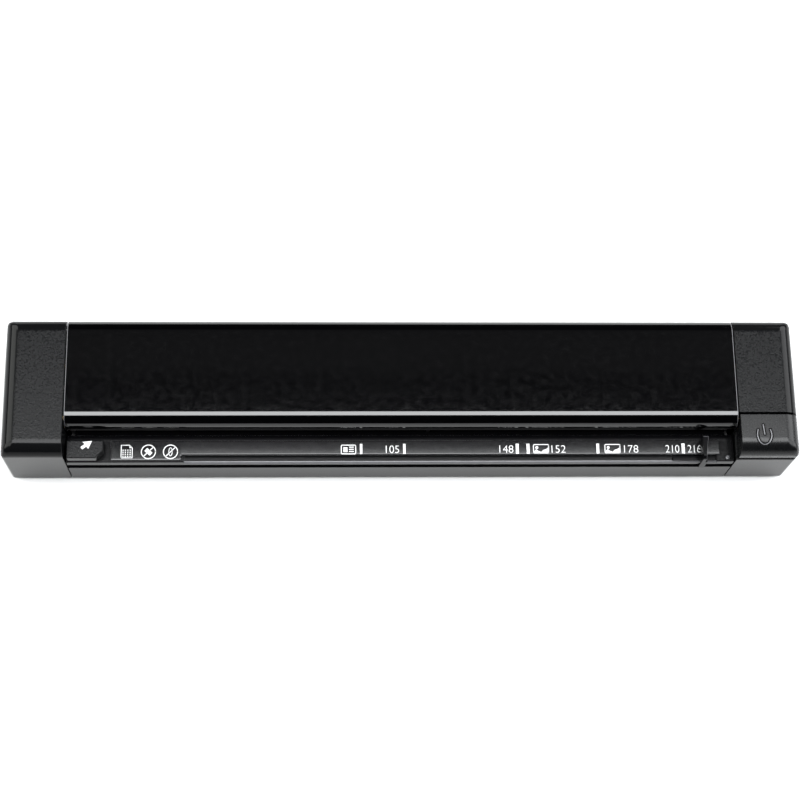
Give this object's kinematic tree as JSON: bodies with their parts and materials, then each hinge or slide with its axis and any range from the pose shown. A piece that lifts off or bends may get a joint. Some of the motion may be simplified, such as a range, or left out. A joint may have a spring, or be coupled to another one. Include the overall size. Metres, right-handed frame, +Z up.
{
  "type": "portable document scanner",
  "caption": "Low, long sheet-fed scanner with a glossy cover, textured end caps, a feed shelf with a sliding paper guide and a corner power button.",
  "frame": {"origin": "under the middle of the whole object, on the surface that its feet stand on", "axes": "+X along the long side, towards the power button; -Y out of the front, where paper goes in; +Z up"},
  "size_m": [0.295, 0.0534, 0.035],
  "materials": {
    "black_steel": "blackened sheet",
    "board_green": "printed circuit laminate",
    "brass": "turned",
    "cable_white": "flat cable film",
    "chip_black": "plain moulded",
    "gear_plastic": "moulded, cream",
    "glass": "clear",
    "gloss_black": "polished",
    "inner_plastic": "plain moulded",
    "light_lens": "clear, frosted inside",
    "roller_rubber": "ground, dark grey",
    "rubber": "moulded, dark",
    "satin_black": "satin",
    "steel": "plain",
    "textured_black": "finely grained, dark",
    "white_plastic": "smooth white"
  },
  "bodies": {
    "scanner_body": {"bottom_case": "satin_black", "button_spring": "steel", "case_screw_1": "steel", "case_screw_2": "steel", "case_screw_3": "steel", "case_screw_4": "steel", "compound_pin": "steel", "feed_shelf": "satin_black", "idler_pin": "steel", "left_cap_screw": "steel", "left_end_cap": "textured_black", "left_exit_bush": "brass", "left_feed_bush": "brass", "left_pinch_spring": "steel", "left_side_frame": "black_steel", "light_pipe": "light_lens", "lower_paper_bed": "satin_black", "main_board": "board_green", "marking_panel": "gloss_black", "motor_body": "steel", "motor_bracket": "steel", "motor_cable": "cable_white", "paper_detector": "chip_black", "paper_stop": "textured_black", "right_cap_screw": "steel", "right_end_cap": "textured_black", "right_exit_bush": "brass", "right_feed_bush": "brass", "right_pinch_spring": "steel", "right_side_frame": "black_steel", "rod_lens_row": "white_plastic", "rubber_foot_1": "rubber", "rubber_foot_2": "rubber", "rubber_foot_3": "rubber", "rubber_foot_4": "rubber", "sensor_glass": "glass", "sensor_housing": "inner_plastic", "sensor_ribbon": "cable_white", "sensor_spring_1": "steel", "sensor_spring_2": "steel", "tact_switch": "chip_black", "top_cover": "gloss_black", "upper_paper_guide": "inner_plastic", "usb_socket": "steel", "white_backing_bar": "white_plastic"},
    "power_button": {"power_button": "textured_black", "switch_plunger": "white_plastic"},
    "paper_guide": {"paper_guide": "satin_black"},
    "feed_roller": {"feed_roller_shaft": "steel", "feed_roller_rubber": "roller_rubber", "feed_roller_gear": "gear_plastic"},
    "exit_roller": {"exit_roller_shaft": "steel", "exit_roller_rubber": "roller_rubber", "exit_roller_gear": "gear_plastic"},
    "feed_pinch_roller": {"feed_pinch_roller": "white_plastic"},
    "exit_pinch_roller": {"exit_pinch_roller": "white_plastic"},
    "idler_gear": {"idler_gear": "gear_plastic"},
    "compound_gear": {"compound_gear": "gear_plastic"},
    "motor_rotor": {"rotor_pinion": "brass"},
    "sensor_flag": {"sensor_flag": "chip_black"}
  },
  "joints": [
    {"name": "button_press", "type": "slide", "parent": "scanner_body", "child": "power_button", "axis": [0, 0, -1], "range_m": [0, 0.0006], "stiffness_N_per_m": 800, "deforming": ["button_spring"]},
    {"name": "guide_slide", "type": "slide", "parent": "scanner_body", "child": "paper_guide", "axis": [-1, 0, 0], "range_m": [0, 0.182]},
    {"name": "feed_roller_spin", "type": "hinge", "parent": "scanner_body", "child": "feed_roller", "pos_m": [0, -0.0079, 0.018], "axis": [1, 0, 0], "continuous": true},
    {"name": "exit_roller_spin", "type": "hinge", "parent": "scanner_body", "child": "exit_roller", "pos_m": [0, 0.0121, 0.018], "axis": [1, 0, 0], "continuous": true},
    {"name": "feed_pinch_spin", "type": "hinge", "parent": "scanner_body", "child": "feed_pinch_roller", "pos_m": [0, -0.0079, 0.0255], "axis": [1, 0, 0], "continuous": true},
    {"name": "exit_pinch_spin", "type": "hinge", "parent": "scanner_body", "child": "exit_pinch_roller", "pos_m": [0, 0.0121, 0.0255], "axis": [1, 0, 0], "continuous": true},
    {"name": "idler_spin", "type": "hinge", "parent": "scanner_body", "child": "idler_gear", "pos_m": [0, 0.0021, 0.01599], "axis": [1, 0, 0], "continuous": true},
    {"name": "compound_spin", "type": "hinge", "parent": "scanner_body", "child": "compound_gear", "pos_m": [0, 0.01789, 0.01111], "axis": [1, 0, 0], "continuous": true},
    {"name": "rotor_spin", "type": "hinge", "parent": "scanner_body", "child": "motor_rotor", "pos_m": [0, 0.00892, 0.01032], "axis": [1, 0, 0], "continuous": true},
    {"name": "flag_swing", "type": "hinge", "parent": "scanner_body", "child": "sensor_flag", "pos_m": [0.01, -0.0133, 0.0151], "axis": [-1, 0, 0], "range_deg": [0, 18], "stiffness_Nm_per_rad": 0.0001}
  ],
  "couplings": [
    {"joint": "exit_roller_spin", "follows": "feed_roller_spin", "ratio": 1},
    {"joint": "feed_pinch_spin", "follows": "feed_roller_spin", "ratio": -1.25},
    {"joint": "exit_pinch_spin", "follows": "feed_roller_spin", "ratio": -1.25},
    {"joint": "idler_spin", "follows": "feed_roller_spin", "ratio": -1.125},
    {"joint": "compound_spin", "follows": "feed_roller_spin", "ratio": -1.5},
    {"joint": "rotor_spin", "follows": "feed_roller_spin", "ratio": 3}
  ]
}
